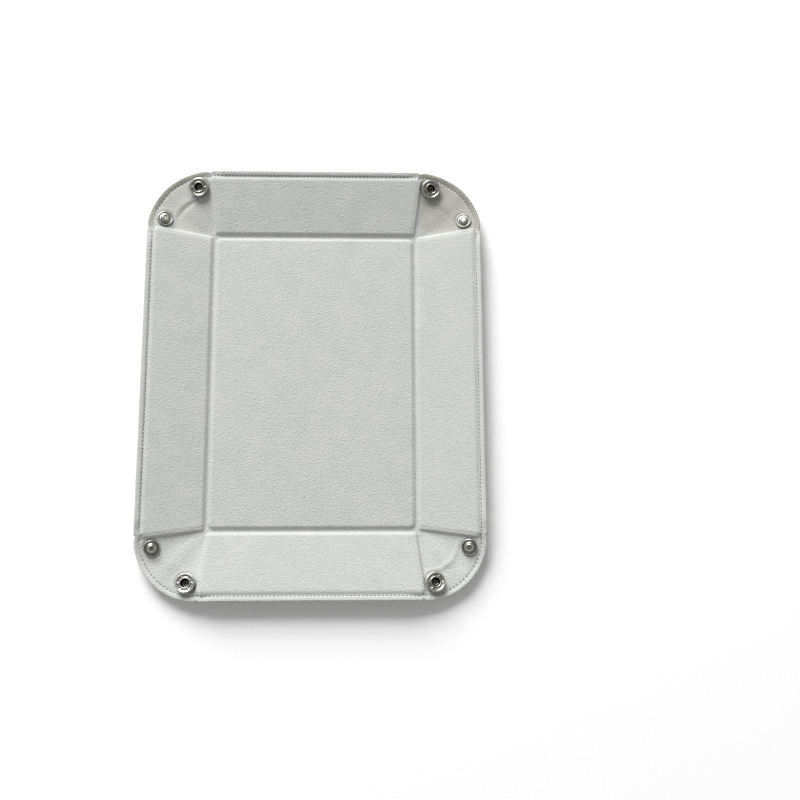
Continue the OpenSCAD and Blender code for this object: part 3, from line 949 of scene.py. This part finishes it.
def soft_faces(form, rise=0):
    """Heights of a soft corner's two faces at the bottom of the stitch channel."""
    channel = stitch_channel(STITCH_IN)
    return form + CLOTH + rise - channel, form - CLOTH + BACKING_SHARE * channel


def faces_in_half(corner, a, b):
    """Heights of a corner half's two faces under a row of stitches."""
    inside = rim_inside(a, b)
    past_stud = np.hypot(a - SNAP_AT[0], b - SNAP_AT[1]) - FLAT_ROUND_STUD
    soft = soft_corner(corner, *along_across(a, b), inside) * step(past_stud / (2.5 * MM))
    soft = soft * near_crease(np.arctan2(a, b)) + soft_turn(a, b)
    return soft_faces(soft, board_ends(a - CUT, b, inside))


for corner, (halves, sx, sy) in CORNERS.items():
    angle = np.linspace(SLANT, math.pi / 4, 120)
    reach = rim_reach(angle, STITCH_IN) - notch(angle)
    line = np.stack([reach * np.sin(angle), reach * np.cos(angle)], -1)
    for which, half in halves.items():
        stitched(f"gusset_{which}_{corner}", half_board(*half), line,
                 lambda a, b, corner=corner: faces_in_half(corner, a, b))
    across = np.linspace(-SPINE_HALF, SPINE_HALF, 30)
    line = np.stack([ARC_AT + np.sqrt((CORNER_R - STITCH_IN) ** 2 - across ** 2), across], -1)
    stitched("spine_" + corner, spine_board(sx, sy), line, lambda a, b, corner=corner: soft_faces(
        soft_corner(corner, a - SPINE_HALF, b, STITCH_IN + 0 * a)))

# %% [markdown]
# ## What each sheet carries
#
# For each panel's cloth the loop reads the size it was cut to, and works out its slot and body,
# whether it is a corner half, and the narrow strips and the stitches that are on it. The cloth of
# the floor and the walls is stretched over a board, and that of a corner half is folded against
# the other cloth.

for name, (flat, area) in cuts.items():
    slot, body = name.split("_", 1)
    half = body.startswith("gusset")
    carried = []
    if body == "floor":
        carried += [f"{slot}_hinge_{wall}" for wall in TURNS] + [f"{slot}_spine_{c}" for c in CORNERS]
    if slot == "lining":
        carried += [f"thread_spine_{c}" for c in CORNERS] if body == "floor" else ["thread_" + body]
print("sheets declared:", len(cuts))

# %% [markdown]
# ## The press studs
#
# Every part of a press stud is a pressing with a round profile, so each one is a closed outline
# of radius and height carried round the stud's axis. The socket has a rolled rim, a dished
# ring with six small raised marks, and an inner lip round the hole. The grip ring is a loop of
# wire with a gap, which lies under that lip.

# %% Turning a profile


def arc(r, z, radius, start, end, count=9):
    """Points of an arc round (r, z), from a start to an end angle in degrees."""
    turn = np.radians(np.linspace(start, end, count))
    return np.stack([r + radius * np.cos(turn), z + radius * np.sin(turn)], -1)


def metal_piece(name, body, corner, board, r, f, z, sharp, material, node):
    """A grid of points at radius r, angle f and height z about the press stud's axis, in mm:
    x = r cos f, y = r sin f, z = h. It rides on a corner half and stands for a plain solid."""
    points = placed(board, SNAP_AT[0] + r * np.cos(f) * MM, SNAP_AT[1] + r * np.sin(f) * MM, CLOTH + z * MM)
    piece = mesh_object(f"{name}_{corner}", points.reshape(-1, 3), grid_faces(*points.shape[:2]), sharp)
    piece.data.materials.append(material)
    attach(piece, f"{body}_{corner}")
    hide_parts(f"{node}_{corner}")


def turned_piece(name, body, corner, board, profile, around, node, change=None):
    """A closed outline of (radius, height) carried round the axis. change may move the heights
    by place. Outline points on the axis merge."""
    f = np.linspace(0, 2 * math.pi, around + 1)[:-1]
    outline = np.concatenate([profile, profile[:1]])
    r, f = np.meshgrid(outline[:, 0], f, indexing="ij")
    z = outline[:, 1:] + 0 * f
    if change is not None:
        z = z + change(r, f, z)
    r, f, z = (np.concatenate([grid, grid[:, :1]], 1) for grid in (r, f, z))
    metal_piece(name, body, corner, board, r, f, z, 40, NICKEL, node)


UNDER = -2 * CLOTH / MM
socket_profile = np.concatenate([
    [(1.6, 0.0), (4.0, 0.0)], arc(5.5, 0.35, 0.35, -90, -10, 5), arc(5.45, 2.45, 0.65, 0, 150, 14),
    [(4.7, 2.58), (4.45, 2.50), (4.2, 2.46), (3.95, 2.46), (3.7, 2.52)], arc(3.12, 2.72, 0.42, 55, 190, 10),
    [(2.7, 2.42), (2.72, 2.34), (3.1, 2.28), (3.8, 2.2), (3.8, 0.5), (3.6, 0.4), (1.6, 0.4)]])
stud_profile = np.concatenate([
    [(1.2, 0.0), (4.3, 0.0)], arc(4.5, 0.42, 0.4, -70, 130, 12), [(4.0, 0.52), (3.6, 0.46), (3.2, 0.52)],
    [(2.8, 0.72), (2.5, 0.98), (2.32, 1.25)], arc(1.9, 1.85, 0.6, -20, 30, 6),
    arc(1.35, 1.95, 0.95, 40, 85, 7), [(1.25, 2.84), (1.2, 2.7), (1.2, 2.0)]])
cap_profile = np.concatenate([
    [(0, UNDER - 1.3), (1.2, UNDER - 1.28), (2.5, UNDER - 1.18), (3.7, UNDER - 1.0), (4.7, UNDER - 0.74)],
    arc(5.35, UNDER - 0.28, 0.6, -50, 20, 7), [(5.8, UNDER), (1.6, UNDER), (1.6, 0.1)],
    arc(1.75, 0.3, 0.35, -20, 120, 7), [(1.2, 0.4), (1.0, 0.1), (1.0, UNDER + 0.4), (0, UNDER + 0.4)]])
post_profile = np.concatenate([
    [(0, UNDER - 0.5), (1.1, UNDER - 0.52), (1.35, UNDER - 0.9), (1.7, UNDER - 1.0), (2.6, UNDER - 0.98),
     (3.6, UNDER - 0.86), (4.4, UNDER - 0.6)], arc(4.6, UNDER - 0.25, 0.35, -50, 20, 6),
    [(4.9, UNDER), (1.2, UNDER), (1.2, 2.45), (1.05, 2.6), (0, 2.64)]])
print("outline points:", len(socket_profile), len(stud_profile), len(cap_profile), len(post_profile))

# %% Sockets, studs, caps and posts


def raised_marks(r, f, z):
    """Six small raised marks in the dished ring of the socket, each a bell 0.3 mm high."""
    turn = (f / (2 * math.pi) * 6 + 0.5) % 1 - 0.5
    arc_away = turn * 2 * math.pi * r / 6
    return 0.30 * bump(r - 4.25, 0.42) * bump(arc_away, 0.36) * (z > 2.4)


def grip_ring(body, corner, board):
    """A wire loop 0.6 mm thick with a gap: rings of points round a circle of 3.05 mm. The wire
    is rounded off at both ends."""
    along = np.linspace(-1, 1, 70)[:, None]
    thin = 0.3 * np.sqrt(1 - np.clip(np.abs(along) * 30 - 29, 0, 1) ** 2)
    g = np.linspace(0, 2 * math.pi, 11)
    metal_piece("grip_ring", body, corner, board, 3.05 + thin * np.cos(g), np.radians(180 + 165 * along),
                1.98 + thin * np.sin(g), 60, WIRE, "socket_spring")


for corner, (halves, sx, sy) in CORNERS.items():
    on_a, on_b = (("gusset_" + which, corner, half_board(*halves[which])) for which in "ab")
    turned_piece("socket_ring", *on_a, socket_profile, 132, "socket", raised_marks)
    turned_piece("socket_back", *on_a, cap_profile, 72, "socket_cap")
    grip_ring(*on_a)
    turned_piece("stud_head", *on_b, stud_profile, 96, "stud")
    turned_piece("stud_back", *on_b, post_profile, 72, "stud_post")
print("press studs:", len(CORNERS), "of five pieces each")

# %% [markdown]
# ## Stage, light and camera
#
# A pale floor, a soft bright room, and one window-like lamp beyond the back wall and a little
# to the left, low enough for the grooves to show as a dark slope and a bright slope. The camera
# looks almost straight down.

# %% Floor and lights
ground_z = -0.1 * MM
ground = mesh_object("ground", np.array([[-3, -3, ground_z], [3, -3, ground_z], [3, 3, ground_z],
                                         [-3, 3, ground_z]], float), np.array([[0, 1, 2, 3]]))
ground.data.materials.append(grained_material(
    "white_backdrop_paper", "TexNoise", {"Scale": 900.0}, [(0.3, "#fafafa"), (0.7, "#ffffff")],
    {"Strength": 0.0}, {"Roughness": 1.0}))
ground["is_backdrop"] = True

room = bpy.data.worlds.new("soft_room")
room.use_nodes = True
around = add_node(room, "TexCoord", {})
split = add_node(room, "SeparateXYZ", {"Vector": around.outputs["Generated"]})
shade = add_node(room, "ValToRGB", {"Fac": split.outputs["Z"]},
                 stops=[(0.0, 0.35), (0.15, 0.9), (0.75, 0.9), (0.85, 0.22)])
glow = room.node_tree.nodes["Background"].inputs
room.node_tree.links.new(shade.outputs["Color"], glow["Color"])
glow["Strength"].default_value = 0.6
bpy.context.scene.world = room
bpy.context.scene.view_settings.view_transform = "Standard"

lamp_at = Vector((-1.2, 3.25, 2.0))
window = bpy.data.objects.new("window", bpy.data.lights.new("window", "AREA"))
window.data.size = 2.4
window.data.energy = 256.0
window.matrix_world = Matrix.Translation(lamp_at) @ lamp_at.to_track_quat("Z", "Y").to_matrix().to_4x4()
bpy.context.scene.collection.objects.link(window)
print("lamps:", len(bpy.data.lights))

# %% Camera
tip, roll, yaw = (math.radians(x) for x in (-11.0, 2.04, -0.08))
turn = Matrix.Rotation(yaw, 3, "Z") @ Matrix.Rotation(roll, 3, "Y") @ Matrix.Rotation(tip, 3, "X")
turn.transpose()
camera_at = turn @ Vector((0.0544, -0.0124, 0.6308)) + Vector((0, 0, FOLD_Z))
camera = bpy.data.objects.new("camera", bpy.data.cameras.new("camera"))
camera.data.lens = 45
camera.data.sensor_width = 36
camera.matrix_world = Matrix.Translation(camera_at) @ turn.to_4x4()
bpy.context.scene.collection.objects.link(camera)
bpy.context.scene.camera = camera
print("camera at", [round(x, 3) for x in camera_at])

# %% [markdown]
# ## The size, before and after
#
# The boxes of the imported model and of everything shown are printed side by side.

# %% Sizes and finish
visual_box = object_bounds()
for name, box in (("cad", cad_box), ("visual", visual_box)):
    print(name, "box, mm:", [[round(x * 1000, 1) for x in corner] for corner in box])
